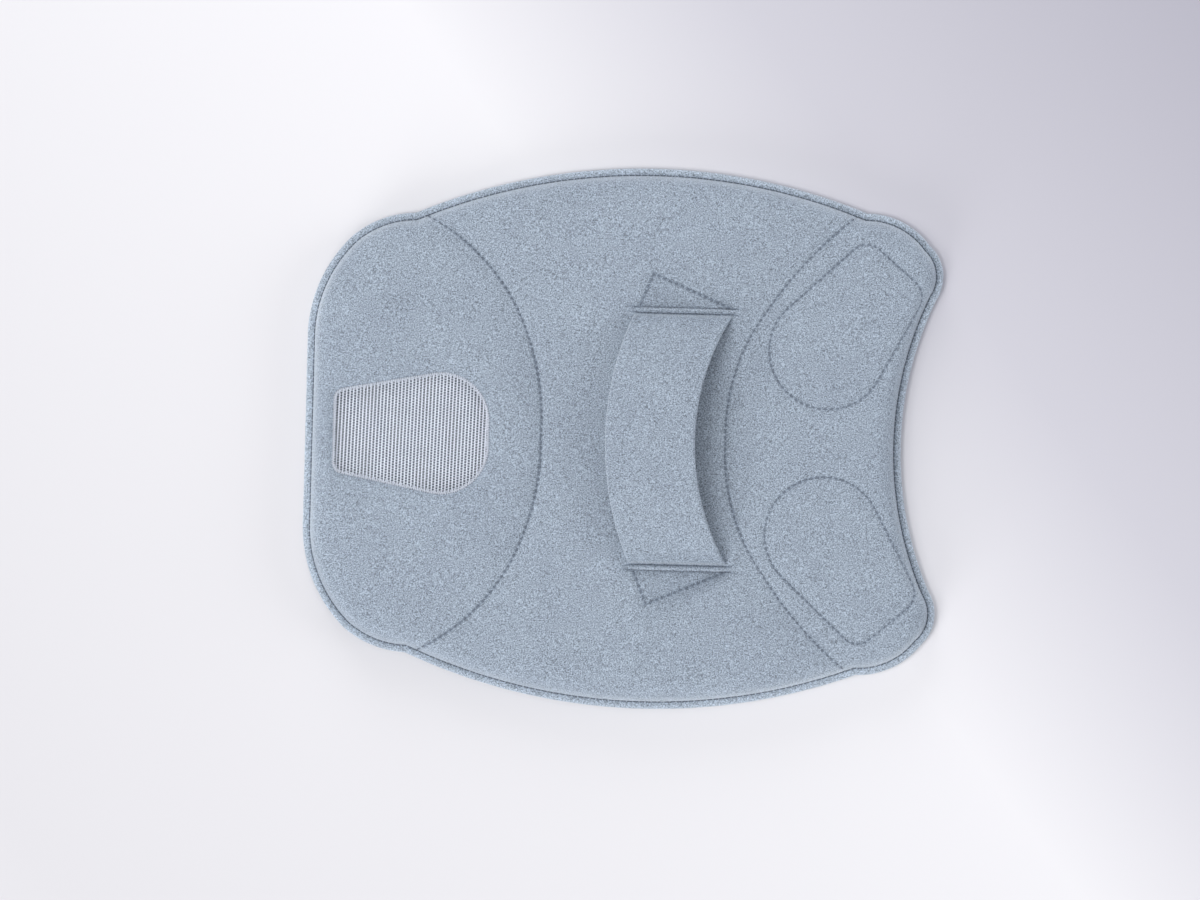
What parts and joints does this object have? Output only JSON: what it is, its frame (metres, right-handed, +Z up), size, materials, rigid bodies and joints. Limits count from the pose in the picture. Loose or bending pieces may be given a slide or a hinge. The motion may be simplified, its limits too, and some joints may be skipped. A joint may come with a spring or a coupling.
{
  "type": "back protector",
  "caption": "Soft padded back protector in three sewn sections with a mesh vent, two quilted inserts and an arched hand strap, bound round its edge.",
  "frame": {"origin": "under the middle of the pad, on the plane that it lies on", "axes": "+Z up through the face, +X towards the scooped end, +Y to the left"},
  "size_m": [0.4131, 0.3518, 0.0433],
  "materials": {
    "face_fabric": "brushed melange knit",
    "lining_fabric": "fine plain knit",
    "binding_tape": "smooth folded tape",
    "sewing_thread": "twisted polyester",
    "vent_mesh": "open warp-knit mesh",
    "foam": "open-cell foam",
    "impact_plate": "moulded soft plate"
  },
  "bodies": {
    "centre_section": {"centre_edge_binding_left": "binding_tape", "centre_edge_binding_right": "binding_tape", "centre_edge_thread": "sewing_thread", "centre_face_panel": "face_fabric", "centre_foam_pad": "foam", "centre_impact_plate": "impact_plate", "centre_lining": "lining_fabric", "scoop_seam_tape": "binding_tape", "scoop_seam_thread": "sewing_thread", "strap_end_left": "face_fabric", "strap_end_right": "face_fabric", "strap_slot_welt_left": "face_fabric", "strap_slot_welt_right": "face_fabric", "strap_tab_left": "face_fabric", "strap_tab_right": "face_fabric", "strap_tab_thread": "sewing_thread", "vent_seam_tape": "binding_tape", "vent_seam_thread": "sewing_thread"},
    "vent_section": {"vent_edge_binding": "binding_tape", "vent_edge_thread": "sewing_thread", "vent_face_panel": "face_fabric", "vent_foam_pad": "foam", "vent_impact_plate": "impact_plate", "vent_lining": "lining_fabric", "vent_mesh_back": "vent_mesh", "vent_mesh_front": "vent_mesh"},
    "scoop_section": {"corner_insert_left": "foam", "corner_insert_right": "foam", "corner_insert_thread": "sewing_thread", "scoop_edge_binding": "binding_tape", "scoop_edge_thread": "sewing_thread", "scoop_face_panel": "face_fabric", "scoop_foam_pad": "foam", "scoop_impact_plate": "impact_plate", "scoop_lining": "lining_fabric"},
    "hand_strap": {"strap_core": "foam", "strap_cover": "face_fabric"}
  },
  "joints": [
    {"name": "vent_flex", "type": "hinge", "parent": "centre_section", "child": "vent_section", "pos_m": [-0.098, 0, 0.0015], "axis": [0, 1, 0], "range_deg": [-20, 12], "stiffness_Nm_per_rad": 3},
    {"name": "scoop_flex", "type": "hinge", "parent": "centre_section", "child": "scoop_section", "pos_m": [0.113, 0, 0.0015], "axis": [0, -1, 0], "range_deg": [-20, 12], "stiffness_Nm_per_rad": 3},
    {"name": "strap_lift", "type": "slide", "parent": "centre_section", "child": "hand_strap", "axis": [0, 0, 1], "range_m": [-0.008, 0.005], "stiffness_N_per_m": 400}
  ]
}
